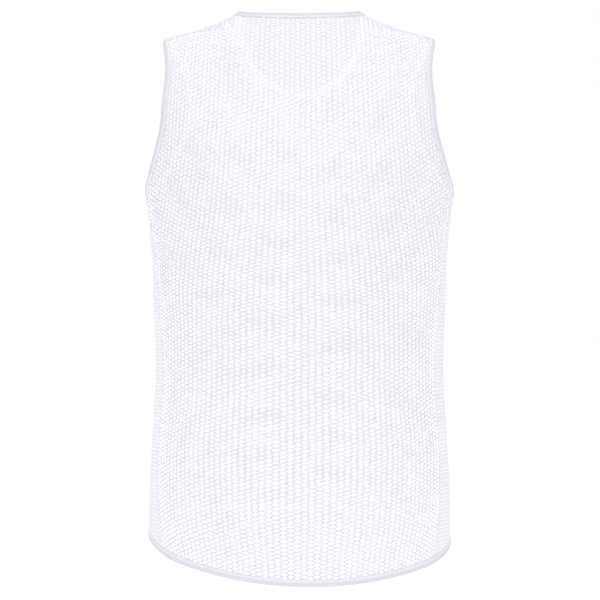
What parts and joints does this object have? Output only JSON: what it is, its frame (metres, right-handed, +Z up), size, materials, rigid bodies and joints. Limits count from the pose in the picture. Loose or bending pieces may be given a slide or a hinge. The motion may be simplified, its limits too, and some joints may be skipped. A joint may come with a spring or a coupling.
{
  "type": "cycling base layer",
  "caption": "Sleeveless open-mesh base layer in worn form, hollow, with net body panels, close-knit side panels and bound neck, armholes and hem.",
  "frame": {"origin": "between the shoulders in the neck hole, level with the middles of the two shoulder seams, where the wearer holds the garment up", "axes": "+Z up; the garment's front faces -Y and its back +Y; +X is the wearer's left"},
  "size_m": [0.3532, 0.2459, 0.6446],
  "materials": {
    "open_net": "white warp-knit polyester net, matt with a faint sheen on the yarn",
    "close_knit": "white close knit with fine crosswise ribs, matt",
    "elastic_binding": "pale lavender-white folded elastic binding, softly matt"
  },
  "bodies": {
    "root": {"back_panel": "open_net", "front_panel": "open_net", "side_panel_left": "close_knit", "side_panel_right": "close_knit", "neck_binding": "elastic_binding", "armhole_binding_left": "elastic_binding", "armhole_binding_right": "elastic_binding", "hem_binding": "elastic_binding"}
  },
  "joints": []
}
